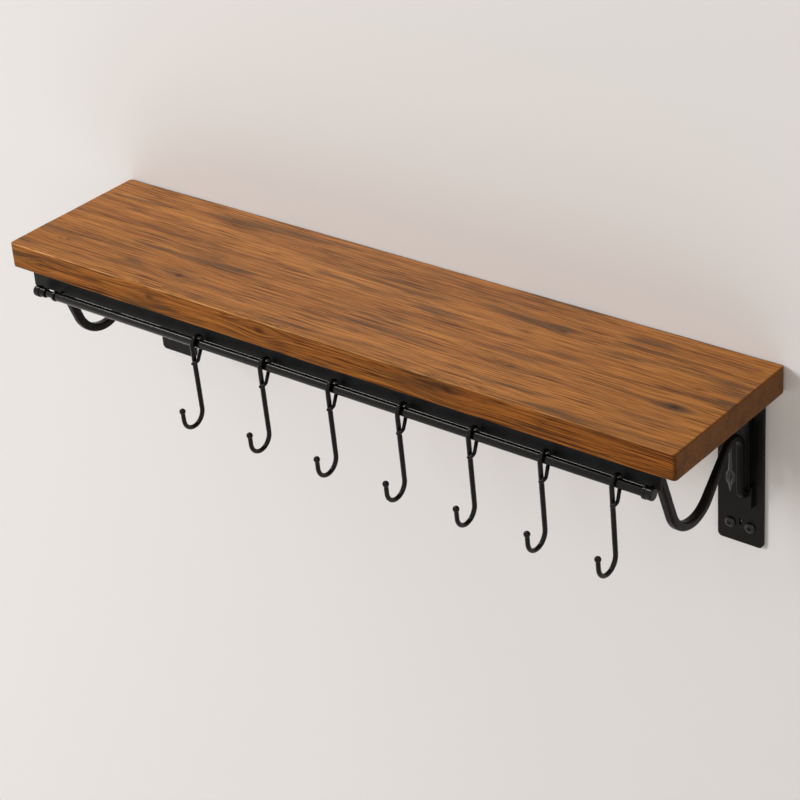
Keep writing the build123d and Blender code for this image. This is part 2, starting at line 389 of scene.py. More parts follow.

# %% [markdown]
# The colour is built up in the order in which a finisher would see it: light and dark bands, pale
# veins, the dark lines of the rings, of the veins, the fibres and the flecks, and then smoky
# stains and the knots. The sides and the ends took more stain than the top, and the sides carry
# painted shade as well, deeper towards the right end. Hands and pots have rubbed the top front
# edge pale, and a painted highlight on it grows towards the left end. Painted shade darkens the
# back edge where the board meets the wall, and dirt has darkened the front corners.

# %% Stained wood
HEART_ACROSS, HEART_DEEP = 22, -118
YEAR_MM = 3.9
SIDE_SKIN, FULL_SKIN = 2.0, 1.2
PALE_WOOD = (0.640, 0.290, 0.070)
LIGHT_WOOD = (0.500, 0.193, 0.037)
MID_WOOD = (0.312, 0.106, 0.018)
RING_WOOD = (0.070, 0.021, 0.004)
# Colour of the smoky stains, also used for the painted shade on the back edge
SMOKE_AND_SHADE_WOOD = (0.085, 0.043, 0.018)
KNOT_WOOD = (0.040, 0.016, 0.007)
END_WOOD = (0.118, 0.052, 0.020)
# Colour of the pale front edge: real wear, and a painted highlight as well
WORN_AND_HIGHLIT_WOOD = (0.66, 0.36, 0.14)
# Multiplier for the sides: the extra stain they take, and painted shade as well
SIDE_STAIN_AND_SHADE = (0.62, 0.52, 0.40)


def stained_wood():
    """The wood of the board, from its rings to the wear, dirt and painted light on its edges."""
    wood = Finish("stained_wood")
    along, across, deep = wood.millimetres(board_centre)
    pushed, raised, knot, halo = knotted(along, across, deep)

    def grain(long_mm, fine_mm, detail=1.0, distortion=0.0):
        """Noise whose marks are that long along the board and that fine across it."""
        return wood.noise(along / long_mm, pushed / fine_mm, raised / fine_mm, detail, distortion)

    def vein(long_mm, fine_mm, level, width):
        """A thin line wherever the grain passes one level."""
        return abs(grain(long_mm, fine_mm) - level).ramp(width, 0.0)

    wander = (grain(420, 60) - 0.5) * 16 + (grain(120, 14) - 0.5) * 2.4
    from_heart = ((pushed - HEART_ACROSS) ** 2 + (raised - HEART_DEEP) ** 2).root() + wander
    uneven = from_heart + wood.noise(from_heart / 11, 0.0, 0.0, 1.0) * 9
    year = (uneven / YEAR_MM).fraction()
    line = year.ramp(0.55, 0.93) * year.ramp(1.0, 0.95)
    faint = grain(130, 6).ramp(0.35, 0.70)
    fibre = grain(70, 1.7, 2.0)
    long_vein, short_vein = vein(330, 5.2, 0.5, 0.035), vein(120, 2.7, 0.5, 0.05)
    pale_vein = vein(160, 3.6, 0.42, 0.05)
    fleck = grain(22, 1.1).ramp(0.60, 0.72)
    streak = grain(230, 2.6, 3.0)
    band = grain(500, 22)
    smoke = grain(130, 13, 3.0, 0.4).ramp(0.49, 0.70)
    patch = wood.noise(along / 90, across / 9, raised / 9, 2.0).ramp(0.35, 0.65)

    side = (abs(across) - half_wide + SIDE_SKIN).ramp(0.0, FULL_SKIN)
    vivid = side * 0.5 + 1
    colour = wood.mix((band * 0.8 + streak * 1.3 - 1.05).ramp(-0.34, 0.34), MID_WOOD, LIGHT_WOOD)
    colour = wood.mix(pale_vein * patch * 0.45, colour, PALE_WOOD)
    colour = wood.mix(line * (faint * 0.32 + 0.08) * vivid, colour, RING_WOOD)
    colour = wood.mix(long_vein * (faint * 0.50 + 0.14) * vivid, colour, RING_WOOD)
    colour = wood.mix(short_vein * (patch * 0.45 + 0.1) * vivid, colour, RING_WOOD)
    colour = wood.mix((0.5 - fibre).ramp(0.0, 0.18) * 0.82, colour, RING_WOOD)
    colour = wood.mix(fleck * 0.35, colour, RING_WOOD)
    colour = wood.mix((smoke * 0.70 + halo * (patch * 0.4 + 0.2)).least(0.85), colour, SMOKE_AND_SHADE_WOOD)
    colour = wood.mix(knot.ramp(0.1, 1.0) * 0.85, colour, KNOT_WOOD)
    # Painted shade on the sides, on top of their real extra stain, growing towards the right end
    stain_and_shade = side * (0.67 + along / (half_long * 3))
    colour = wood.mix(stain_and_shade, colour, wood.mix(1.0, colour, SIDE_STAIN_AND_SHADE, "MULTIPLY"))
    end = (abs(along) - half_long + SIDE_SKIN).ramp(0.0, FULL_SKIN)
    colour = wood.mix(end * 0.72, colour, END_WOOD)

    front_gap = ((across + half_wide) ** 2 + (deep - half_thick) ** 2).root()
    # Top front edge: real wear broken up by noise, with a painted highlight that grows towards the left end
    edge_breakup = wood.noise(along / 24, across / 5, deep / 5, 2.0).ramp(0.28, 0.58)
    worn_and_highlit = front_gap.ramp(1.5, 1.0) * (edge_breakup * 0.6 + 0.4) * (0.66 - along / (half_long * 3.4))
    colour = wood.mix(worn_and_highlit, colour, WORN_AND_HIGHLIT_WOOD)
    # Painted shade along the top's back edge, where the board meets the wall
    back_gap = ((across - half_wide) ** 2 + (deep - half_thick) ** 2).root()
    colour = wood.mix(back_gap.ramp(3.2, 1.6) * 0.6, colour, SMOKE_AND_SHADE_WOOD)
    corner_gap = ((across + half_wide) ** 2 + (abs(along) - half_long) ** 2).root()
    colour = wood.mix(corner_gap.ramp(3.2, 2.0) * 0.6, colour, KNOT_WOOD)
    wood.set(Base_Color=colour, Roughness=0.44 + streak * 0.12 + knot * 0.1, Specular_IOR_Level=0.08)
    wood.bump(fibre * 0.45 + streak * 0.3 - line * 0.35, 0.16)
    return wood.material


wood_finish = stained_wood()
print("stained wood of", len(wood_finish.node_tree.nodes), "nodes")

# %% [markdown]
# The ironwork is powder coated: a thin satin black skin with the faint pebble of fused powder.
# The bent bars show the hammer as well, as shallow dents a few millimetres across. The rail is
# polished by the hooks that slide on it, and theirs is the smoother black of drawn wire. One
# function makes all of them, from a colour, a roughness, a gloss and the depths of pebble and dent.

# %% Black iron
NO_DENTS = 0.0001
HOLLOW, RAISED, DUSTED = 0.75, 1.3, 2.6


def black_iron(name, colour, roughness, gloss, pebble_mm, dent_mm=NO_DENTS):
    """A satin black coat over iron, with its pebble, its dust and the dents of the hammer."""
    iron = Finish(name)
    x, y, z = iron.millimetres()
    pebble = iron.noise(x / 0.7, y / 0.7, z / 0.7, 1.0)
    cloud = iron.noise(x / 21, y / 21, z / 21, 3.0)
    dent = iron.noise(x / 6.5, y / 6.5, z / 6.5, 0.0)
    dust = iron.noise(x / 2.4, y / 2.4, z / 2.4, 4.0).ramp(0.60, 0.80)
    dark, pale, dusty = (tuple(channel * share for channel in colour) for share in (HOLLOW, RAISED, DUSTED))
    base = iron.mix(cloud.ramp(0.3, 0.7), dark, pale)
    base = iron.mix(dust * 0.25, base, dusty)
    uneven = roughness - 0.06 + cloud * 0.12 + dust * 0.08
    iron.set(Base_Color=base, Roughness=uneven, Specular_IOR_Level=gloss)
    relief_mm = pebble_mm + dent_mm
    iron.bump(pebble * (pebble_mm / relief_mm) + dent * (dent_mm / relief_mm), relief_mm)
    return iron.material


iron_finish = black_iron("black_iron", (0.0046, 0.0048, 0.0042), roughness=0.36, gloss=0.13, pebble_mm=0.020)
# The apron's black is lighter than the plates' to paint in the room's reflection on its front
apron_painted_reflection_finish = black_iron("black_apron", (0.009, 0.010, 0.010), roughness=0.42, gloss=0.13, pebble_mm=0.012)
rail_finish = black_iron("black_rail", (0.0024, 0.0024, 0.0022), roughness=0.18, gloss=0.26, pebble_mm=0.001)
forged_finish = black_iron("forged_iron", (0.0048, 0.0045, 0.0038), 0.34, 0.10, pebble_mm=0.012, dent_mm=0.1)
hook_finish = black_iron("black_hooks", (0.0032, 0.0030, 0.0028), 0.24, 0.22, pebble_mm=0.006, dent_mm=0.030)
screw_finish = black_iron("black_screws", (0.005, 0.005, 0.0046), roughness=0.24, gloss=0.4, pebble_mm=0.006)
print("six black finishes")

# %% [markdown]
# The screws that hold the board are zinc plated. Zinc is a metal, so its colour is that of its
# reflections, and a fine haze of scratches and dull spots keeps it from looking like chrome.

# %% Zinc plating
def zinc_plate():
    """A bright metal with dull spots and fine scratches."""
    zinc = Finish("zinc_screws")
    x, y, z = zinc.millimetres()
    spots = zinc.noise(x / 1.6, y / 1.6, z / 1.6, 3.0)
    brushed = zinc.noise(x / 0.15, y / 0.15, z / 2.0, 2.0)
    colour = zinc.mix(spots.ramp(0.35, 0.7), (0.50, 0.50, 0.49), (0.62, 0.63, 0.64))
    zinc.set(Base_Color=colour, Metallic=1.0, Roughness=0.28 + spots * 0.2)
    zinc.bump(brushed, 0.01)
    return zinc.material


zinc_finish = zinc_plate()
print("zinc plating")

# %% [markdown]
# Every finished piece ends the same way: its mesh is plain, it is smooth except at true corners,
# it takes the place of its model node and it rides on that node's body.

# %% Put a finished piece on the rack
CREASE = radians(38)
bodies = frame["record"]["behaviour"]["bodies"]
body_of_node = {node: body for body, nodes in bodies.items() for node in nodes}


def hang(name, mesh, node):
    """Make a piece of a mesh and let it stand for a node of the model."""
    mesh.name = name
    mesh.shade_smooth()
    mesh.set_sharp_from_angle(angle=CREASE)
    piece = bpy.data.objects.new(name, mesh)
    bpy.context.scene.collection.objects.link(piece)
    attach(piece, body_of_node[node])
    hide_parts(node)
    return piece


def settle(start):
    """The plain mesh of an object with its modifiers worked in, and the object gone."""
    bpy.context.scene.collection.objects.link(start)
    bpy.context.view_layer.update()
    mesh = bpy.data.meshes.new_from_object(start.evaluated_get(bpy.context.evaluated_depsgraph_get()))
    bpy.data.objects.remove(start)
    return mesh


# %% [markdown]
# A plank that has been planed and sanded by hand has no dead straight edge. The board is a grid
# of points on a box. Each point is drawn in towards a smaller box inside and set back out by a
# radius, which is 5 mm round the four upright corners and about 2 mm along all the other edges.
# Slow noise changes the smaller radius and lets the faces sink by a few tenths of a millimetre.

# %% The board's rounded skin
ROUND_STEPS = 8
CORNER_ROUND = 5.0 * MM
FACE_STEP = 9 * MM
EDGE_ROUND, LEAST_ROUND = 2.0 * MM, 1.4 * MM
EDGE_WEAR, SLOW_WEAR, FINE_WEAR = 0.6 * MM, 38 * MM, 11 * MM
FACE_SINK, SINK_LONG, SINK_WIDE = 0.35 * MM, 130 * MM, 40 * MM


def grid_places(half):
    """Places along one side of the board, close together where the edges are rounded."""
    flat = half - CORNER_ROUND - EDGE_WEAR
    angles = [radians(45) * step / ROUND_STEPS for step in range(1, ROUND_STEPS + 1)]
    bend = [half - (half - flat) * (1 - tan(angle)) for angle in angles]
    count = max(2, ceil(2 * flat / FACE_STEP))
    middle = [flat * (2 * step / count - 1) for step in range(count + 1)]
    return [-place for place in reversed(bend)] + middle + bend


def sanded(spot, half):
    """Where a point of the sharp box lies on the sanded board."""
    wear = EDGE_ROUND + EDGE_WEAR * (noise.noise(spot / SLOW_WEAR) + noise.noise(spot / FINE_WEAR) / 2)
    wear = max(LEAST_ROUND, min(wear, EDGE_ROUND + EDGE_WEAR))
    core = Vector([max(CORNER_ROUND - h, min(s, h - CORNER_ROUND)) for s, h in zip(spot, half)])
    level = (spot - core) * Vector((1, 1, 0))
    inner = core + level.normalized() * min(level.length, CORNER_ROUND - wear)
    inner.z = max(wear - half.z, min(spot.z, half.z - wear))
    skin = core + level.normalized() * min(level.length, CORNER_ROUND)
    skin.z = spot.z
    out = skin - inner
    rounded = inner + out.normalized() * min(out.length, wear)
    slow = noise.noise(Vector((spot.x / SINK_LONG, spot.y / SINK_WIDE, spot.z / SINK_WIDE)))
    return rounded - out.normalized() * (FACE_SINK * (0.5 + 0.5 * slow))


print("edges of", EDGE_ROUND / MM, "mm, corners of", CORNER_ROUND / MM, "mm")

# %% [markdown]
# The grid is closed by walking over the box's six sides. A point on an edge belongs to two sides
# and one on a corner to three, so the points are kept by their place in the grid and made once.

# %% The board
def board_mesh():
    """The six sides of the sanded board as one closed mesh."""
    half = board_size / 2
    xs, ys, zs = (grid_places(extent) for extent in half)
    last = (len(xs) - 1, len(ys) - 1, len(zs) - 1)
    board = bmesh.new()
    points = {}

    def point(i, j, k):
        if (i, j, k) not in points:
            spot = Vector((xs[i], ys[j], zs[k]))
            points[i, j, k] = board.verts.new(sanded(spot, half) + board_centre)
        return points[i, j, k]

    for axis in range(3):
        first, second = [other for other in range(3) if other != axis]
        for end in (0, last[axis]):
            for a in range(last[first]):
                for b in range(last[second]):
                    corners = []
                    for step_a, step_b in ((0, 0), (1, 0), (1, 1), (0, 1)):
                        place = [0, 0, 0]
                        place[axis], place[first], place[second] = end, a + step_a, b + step_b
                        corners.append(point(*place))
                    board.faces.new(corners)
    bmesh.ops.recalc_face_normals(board, faces=board.faces)
    mesh = bpy.data.meshes.new("board")
    board.to_mesh(mesh)
    board.free()
    mesh.materials.append(wood_finish)
    return mesh


board = hang("plank", board_mesh(), "shelf_board")
print("plank", len(board.data.polygons), "faces")

# %% [markdown]
# Cut steel bar and plate have a small round on every edge where the coating has softened it, and
# that round is what catches the light. The model's flat pieces are right in shape, so each gets a
# copy of its mesh with the loose triangles joined, flat faces made whole and a Bevel modifier. Wide
# faces are then shaded flat, or the rounds beside them would bend the light across the whole face.

# %% Flat bars and plates
ROUND_SEGMENTS = 3
FLAT_WIDTH = 3 * MM
SAME_POINT, SAME_PLANE = 0.001 * MM, radians(0.5)


def eased(node, edge_mm, finish):
    """A copy of a model piece with its sharp edges rounded."""
    shape = bmesh.new()
    shape.from_mesh(frame["nodes"][node].data)
    bmesh.ops.remove_doubles(shape, verts=shape.verts, dist=SAME_POINT)
    bmesh.ops.dissolve_limit(shape, angle_limit=SAME_PLANE, verts=shape.verts, edges=shape.edges)
    mesh = bpy.data.meshes.new(node)
    shape.to_mesh(mesh)
    shape.free()
    mesh.materials.clear()
    mesh.materials.append(finish)
    start = bpy.data.objects.new("start", mesh)
    bevel = start.modifiers.new("round", "BEVEL")
    bevel.width = edge_mm * MM
    bevel.segments = ROUND_SEGMENTS
    bevel.limit_method = "ANGLE"
    bevel.angle_limit = CREASE
    piece = hang(f"{node}_eased", settle(start), node)
    corners = piece.data.vertices
    for face in piece.data.polygons:
        longest = max((corners[a].co - corners[b].co).length for a, b in face.edge_keys)
        face.use_smooth = face.area < longest * FLAT_WIDTH
    return piece


eased("apron_bar", 0.6, apron_painted_reflection_finish)
for side in sides:
    eased(f"wall_plate_{side}", 0.5, iron_finish)
    eased(f"back_bar_{side}", 0.6, iron_finish)
    eased(f"support_bar_{side}", 0.6, iron_finish)
    eased(f"rail_ring_{side}", 0.3, rail_finish)
    eased(f"rail_cap_{side}", 0.25, rail_finish)
eased("hanging_rail", 0.3, rail_finish)
print("flat pieces eased")

# %% [markdown]
# Hooks, arms and threads all follow a path, which is what Geometry Nodes are good at: a recipe
# takes a curve, and named sizes say how thick it gets. The recipe is built once and run on each
# start. Its result is made real and given its material, because the export needs plain meshes.

# %% Recipes for repeated pieces
class Recipe(Graph):
    """A Geometry Nodes group with named sizes, run on a starting shape to make a plain mesh."""

    def __init__(self, name, **sizes):
        super().__init__(bpy.data.node_groups.new(name, "GeometryNodeTree"))
        face = self.tree.interface
        face.new_socket("Start", in_out="INPUT", socket_type="NodeSocketGeometry")
        face.new_socket("Mesh", in_out="OUTPUT", socket_type="NodeSocketGeometry")
        self.keys = {}
        for title, value in {**sizes, "finish": None}.items():
            kind = {int: "NodeSocketInt", float: "NodeSocketFloat"}.get(type(value), "NodeSocketMaterial")
            socket = face.new_socket(title, in_out="INPUT", socket_type=kind)
            if value is not None:
                socket.default_value = value
            self.keys[title] = socket.identifier
        self.entry = self.tree.nodes.new("NodeGroupInput")
        self.exit = self.tree.nodes.new("NodeGroupOutput")

    def size(self, title):
        """The wire of one of the recipe's named sizes."""
        return Wire(self, self.entry.outputs[title])

    def join(self, *shapes):
        joined = self.tree.nodes.new("GeometryNodeJoinGeometry")
        for shape in shapes:
            self.tree.links.new(shape.socket, joined.inputs[0])
        return Wire(self, joined.outputs[0])

    def dented(self, shape, across, detail, depth):
        """The same shape, pushed in and out along its normals by noise of that size."""
        place = self.node("GeometryNodeInputPosition")
        dents = self.node("ShaderNodeTexNoise", None, place, Scale=1 / across, Detail=detail) - 0.5
        normal = self.node("GeometryNodeInputNormal")
        push = self.node("ShaderNodeVectorMath", {"operation": "SCALE"}, normal, Scale=dents * depth)
        return self.node("GeometryNodeSetPosition", None, shape, Offset=push)

    def close(self, *shapes):
        """End the tree: real meshes, no instances, in the finish that the run gives."""
        real = self.node("GeometryNodeRealizeInstances", None, self.join(*shapes))
        dressed = self.node("GeometryNodeSetMaterial", None, real, Material=self.size("finish"))
        self.tree.links.new(dressed.socket, self.exit.inputs[0])

    def run(self, data, finish, **sizes):
        """The mesh that this recipe makes of a curve or a mesh."""
        start = bpy.data.objects.new("start", data)
        modifier = start.modifiers.new("recipe", "NODES")
        modifier.node_group = self.tree
        for title, value in {**sizes, "finish": finish}.items():
            modifier[self.keys[title]] = value
        return settle(start)


def curve_through(points):
    """An open curve of straight pieces through close points."""
    curve = bpy.data.curves.new("path", "CURVE")
    curve.dimensions = "3D"
    spline = curve.splines.new("POLY")
    spline.points.add(len(points) - 1)
    for spot, place in zip(spline.points, points):
        spot.co = (*place, 1)
    return curve


def bent_route(corners, radii, step):
    """Points along straight runs that are joined by bends, one radius for each inner corner."""
    points = [corners[0]]
    for before, corner, after, radius in zip(corners, corners[1:], corners[2:], radii):
        inward = (before - corner).normalized()
        outward = (after - corner).normalized()
        half = inward.angle(outward) / 2
        centre = corner + (inward + outward).normalized() * (radius / sin(half))
        spoke = corner + inward * (radius / tan(half)) - centre
        axis = spoke.cross(corner + outward * (radius / tan(half)) - centre).normalized()
        turn = pi - 2 * half
        count = ceil(turn * radius / step)
        points += [centre + Quaternion(axis, turn * part / count) @ spoke for part in range(count + 1)]
    return points + [corners[-1]]


print("recipes run on curves and on points")

# %% [markdown]
# A hook is one length of drawn wire, bent cold. From its ball tip it runs up a little, round the
# bowl, up the shank, over the rail, and its tail comes down behind, passes beside the shank and
# ends in a nub on the shank's other side. The wire is stoutest in the lower bend and slims
# towards the tail. The path is arcs and straights, and the recipe gives it its changing radius.

# %% The hooks' path
rail_low, rail_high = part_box("hanging_rail")
RAIL_PLAY = 0.3 * MM
WIRE = 5 * MM
LOOP_RADIUS = (rail_high.z - rail_low.z + WIRE) / 2 + RAIL_PLAY
SHANK_LENGTH, SHANK_LEAN = 79.5 * MM, 3.5 * MM
BOWL_RADIUS = 14.9 * MM
TIP_LENGTH, TIP_LEAN = 11.7 * MM, radians(3)
TIP_BALL = 7.2 * MM
WRAP = WIRE + 0.6 * MM
TAIL_DROP, TAIL_FALL, TAIL_SIDE_FALL = 3.5 * MM, 13 * MM, 2 * MM
TAIL_SIDE_LAG = 1.3 * MM
TAIL_END, TAIL_END_FALL = 4.6 * MM, 0.8 * MM
TAIL_BENDS = (5 * MM, 5 * MM, 3.6 * MM)
PATH_STEP = 0.5 * MM


def swing(place, heading, radius, turn):
    """Points of a bend in the hook's own plane, from a place and a heading, and the heading it ends on."""
    centre = place + Quaternion((1, 0, 0), -pi / 2) @ heading * radius
    count = ceil(turn * radius / PATH_STEP)
    turns = [Quaternion((1, 0, 0), -turn * part / count) for part in range(count + 1)]
    return [centre + part @ (place - centre) for part in turns], turns[-1] @ heading


def hook_path():
    """From the ball tip to the end of the tail, about the rail's axis."""
    top = Vector((0, -LOOP_RADIUS, 0))
    foot = Vector((0, SHANK_LEAN - LOOP_RADIUS, -SHANK_LENGTH))
    down = (foot - top).normalized()
    lean = Vector((0, 0, -1)).angle(down)
    bowl, rise = swing(foot, down, BOWL_RADIUS, pi + lean - TIP_LEAN)
    tip = bowl[-1] + rise * TIP_LENGTH
    loop, _ = swing(top, -down, LOOP_RADIUS, pi - lean)
    beside = -LOOP_RADIUS + TAIL_SIDE_LAG
    before = -LOOP_RADIUS - WIRE
    side_z = -TAIL_DROP - TAIL_FALL
    front_z = side_z - TAIL_SIDE_FALL
    corners = [
        loop[-1],
        Vector((0, LOOP_RADIUS, -TAIL_DROP)),
        Vector((WRAP, beside, side_z)),
        Vector((WRAP, before, front_z)),
        Vector((WRAP - TAIL_END, before, front_z - TAIL_END_FALL)),
    ]
    tail = bent_route(corners, TAIL_BENDS, PATH_STEP)
    return [tip, *reversed(bowl), *loop, *tail[1:]]


hook_route = hook_path()
print("hook path", len(hook_route), "points")

# %% [markdown]
# The recipe turns the path into wire. It sweeps a ring along it whose radius is a formula of how
# far along the wire it is: a swell at the bowl, a slimming towards the tail and a rounded nose.
# Slow noise lifts the surface by a tenth of a millimetre, as bending by hand leaves it.

# %% The hooks
WIRE_STEP, WIRE_FACETS = 0.7 * MM, 16
SWELL_AT, SWELL_REACH = 0.48, 0.26
SLIM_FROM = 0.66
WIRE_DENT = 7 * MM
BALL_SEGMENTS, BALL_RINGS = 20, 14

hook_recipe = Recipe("bent_wire", wire=WIRE, stout=1.12, slim=0.76, ball=TIP_BALL, grain=0.12 * MM)
sized = hook_recipe.size
route = hook_recipe.node("GeometryNodeResampleCurve", {"mode": "LENGTH"}, sized("Start"), Length=WIRE_STEP)
share = hook_recipe.node("GeometryNodeSplineParameter")
left_over = hook_recipe.node("GeometryNodeSplineLength") - share.other("Length")
stout_by = (sized("stout") - 1) * (((share - SWELL_AT) / SWELL_REACH) ** 2).fading()
slim_by = (1 - sized("slim")) * share.ramp(SLIM_FROM, 1.0)
nose = (1 - (1 - (left_over / (sized("wire") / 3)).ramp(0, 1)) ** 2).root()
radius = sized("wire") / 2 * (1 + stout_by - slim_by) * nose
ring = hook_recipe.node("GeometryNodeCurvePrimitiveCircle", {"mode": "RADIUS"}, WIRE_FACETS, Radius=1.0)
wire_mesh = hook_recipe.node("GeometryNodeCurveToMesh", None, route, ring, radius, True)
wire_mesh = hook_recipe.dented(wire_mesh, WIRE_DENT, 0.0, sized("grain"))
tip_end = hook_recipe.node("GeometryNodeCurveEndpointSelection", None, 1, 0)
ball = hook_recipe.node("GeometryNodeMeshUVSphere", None, BALL_SEGMENTS, BALL_RINGS, sized("ball") / 2)
balls = hook_recipe.node("GeometryNodeInstanceOnPoints", None, route, tip_end, ball)
hook_recipe.close(wire_mesh, balls)

for joint in frame["joints"]:
    axis_place = Vector(joint["pos_m"])
    path = curve_through([axis_place + spot for spot in hook_route])
    mesh = hook_recipe.run(path, hook_finish)
    hang(f"{joint['child']}_wire", mesh, joint["child"])

# %% [markdown]
# A scroll arm is square bar with rounded corners, bent hot over a former: down from the support
# bar into a wide bowl, up over an arch and down to the back bar. The same kind of recipe sweeps a
# rounded square along the path, and slow noise along its normals leaves the marks of the hammer.

# %% The scroll arms
ARM_BAR, ARM_ROUND = 10 * MM, 2.6 * MM
LIMB_SETBACK, BOWL_SETBACK, BOWL_DROP = 13.5 * MM, 63.5 * MM, 136 * MM
ARCH_STANDOFF, ARCH_DROP, FOOT_DROP = 8.5 * MM, 17.5 * MM, 122 * MM
ARM_BENDS = (40 * MM, 17 * MM, 8 * MM)
SUNK = 1.6 * MM
ARM_STEP, SECTION_STEP, CORNER_FACETS = 1.6 * MM, 0.7 * MM, 5
DRAWN_FROM, DRAWN_TO = 0.45, 0.72
HAMMER_DENT = 13 * MM

arm_recipe = Recipe("bent_bar", bar=ARM_BAR, corner=ARM_ROUND, slim=0.74, dent=0.35 * MM)
sized = arm_recipe.size
route = arm_recipe.node("GeometryNodeResampleCurve", {"mode": "LENGTH"}, sized("Start"), Length=ARM_STEP)
square = arm_recipe.node(
    "GeometryNodeCurvePrimitiveQuadrilateral", {"mode": "RECTANGLE"}, sized("bar"), sized("bar")
)
soft = arm_recipe.node(
    "GeometryNodeFilletCurve", {"mode": "POLY"}, square, Count=CORNER_FACETS, Radius=sized("corner")
)
fine = arm_recipe.node("GeometryNodeResampleCurve", {"mode": "LENGTH"}, soft, Length=SECTION_STEP)
reached = arm_recipe.node("GeometryNodeSplineParameter")
drawn = 1 - reached.ramp(DRAWN_FROM, DRAWN_TO) * (1 - sized("slim"))
bar = arm_recipe.node("GeometryNodeCurveToMesh", None, route, fine, drawn, True)
arm_recipe.close(arm_recipe.dented(bar, HAMMER_DENT, 1.0, sized("dent")))

apron_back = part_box("apron_bar")[1].y
for side in sides:
    support_low, support_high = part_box(f"support_bar_{side}")
    back_bar_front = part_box(f"back_bar_{side}")[0].y
    arm_x = (support_low.x + support_high.x) / 2
    under = support_low.z
    arch_y = back_bar_front - ARCH_STANDOFF
    limb_top = Vector((arm_x, apron_back + LIMB_SETBACK, under))
    bowl_corner = Vector((arm_x, apron_back + BOWL_SETBACK, under - BOWL_DROP))
    start = limb_top + (limb_top - bowl_corner).normalized() * SUNK
    corners = [
        start,
        bowl_corner,
        Vector((arm_x, arch_y, under - ARCH_DROP)),
        Vector((arm_x, arch_y, under - FOOT_DROP)),
        Vector((arm_x, back_bar_front + SUNK, under - FOOT_DROP)),
    ]
    arm_route = bent_route(corners, ARM_BENDS, PATH_STEP)
    mesh = arm_recipe.run(curve_through(arm_route), forged_finish)
    hang(f"scroll_arm_{side}_bar", mesh, f"scroll_arm_{side}")
print("arms of", len(mesh.polygons), "faces each")

# %% [markdown]
# The drops and the screws are turned: round about one axis, with a radius that changes along it. So
# one helper takes a plain rod and gives each of its points the radius that a formula says. The
# formula gets the depth below the rod's top and the angle round it, so it can also cut ribs.

# %% Turned shapes
def points_at(places):
    """A mesh of loose points, for a recipe to set its shapes on."""
    mesh = bpy.data.meshes.new("points")
    mesh.from_pydata([tuple(place) for place in places], [], [])
    return mesh


def turned(recipe, length, rows, facets, radius_at):
    """A closed shape down -Z from the origin, with its radius from the depth and the angle."""
    rod = recipe.node("GeometryNodeMeshCylinder", {"fill_type": "TRIANGLE_FAN"}, facets, rows, 1, 1.0, 1.0)
    x, y, z = recipe.split(recipe.node("GeometryNodeInputPosition"))
    depth = (0.5 - z) * length
    radius = radius_at(depth, y.maths("ARCTAN2", y, x))
    shaped = recipe.vector(x * radius, y * radius, depth * -1)
    return recipe.node("GeometryNodeSetPosition", None, rod, Position=shaped)


def bulge(depth, middle, half_length, radius):
    """The radius of a bead whose side is half an ellipse."""
    share = (depth - middle) / half_length
    return (1 - share * share).most(0.0).root() * radius


print("turning ready")

# %% [markdown]
# The drop inside each arch is the brackets' one ornament. Its thin neck grows downward into a
# knob, which is ribbed on a slant like twisted rope, and ends in a short tail. The ribs are a
# cosine of the angle that shifts with the depth. They fade where the knob meets its two beads. The
# bent arm is a little slimmer than its solid in the model, so the neck reaches up into it.

# %% The drops
DROP_RISE, DROP_WELD = 3.5 * MM, 2.3 * MM
DROP_NECK = 28 * MM + DROP_RISE
DROP_KNOB, DROP_KNOB_LENGTH = 10 * MM, 17 * MM
WELD_THICK, WELD_FADE = 1.2 * MM, 0.8 * MM
BEAD_HALF = 1.1 * MM
NECK_FLARE, TAIL_TAPER, TIP_ROUND = 0.6, 0.7, 0.5 * MM
drop_low, drop_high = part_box("arm_drop_left")
drop_recipe = Recipe(
    "turned_drop",
    length=drop_high.z - drop_low.z + DROP_RISE,
    neck=2.7 * MM,
    knob=DROP_KNOB,
    bead=5.2 * MM,
    tail=4.2 * MM,
    ribs=7,
    twist=2.6,
    groove=0.42,
)


def drop_radius(depth, angle):
    """How thick the drop is at a depth and an angle: its neck, knob, beads and tail."""
    sized = drop_recipe.size
    length, neck, tail = sized("length"), sized("neck"), sized("tail")
    knob_top, knob_end = DROP_NECK, DROP_NECK + DROP_KNOB_LENGTH
    share = (depth - (knob_top + knob_end) / 2) / (DROP_KNOB_LENGTH / 2)
    weld = ((depth - DROP_WELD).most(0.0) / WELD_FADE).fading() * WELD_THICK
    neck_part = neck / 2 * (1 + (depth / knob_top) ** 2 * NECK_FLARE) + weld
    tail_part = tail / 2 * (1 - (depth - knob_end) / (length - knob_end) * TAIL_TAPER)
    slant = (angle * sized("ribs") + share * sized("twist")).cosine()
    rounded = (1 - share * share).most(0.0).root()
    groove = (slant * 0.5 + 0.5) * rounded * sized("groove")
    knob = sized("knob") / 2 * rounded * (1 - groove)
    beads = bulge(depth, knob_top + 0.4 * MM, BEAD_HALF, sized("bead") / 2)
    beads = beads.most(bulge(depth, knob_end - 0.2 * MM, BEAD_HALF, sized("bead") / 2.2))
    tip = ((length - depth) / TIP_ROUND).least(1.0)
    return neck_part.least(tail_part).most(knob).most(beads) * (1 - (1 - tip) ** 2).root()


drop = turned(drop_recipe, drop_recipe.size("length"), rows=120, facets=48, radius_at=drop_radius)
start = drop_recipe.size("Start")
drop_recipe.close(drop_recipe.node("GeometryNodeInstanceOnPoints", None, start, None, drop))
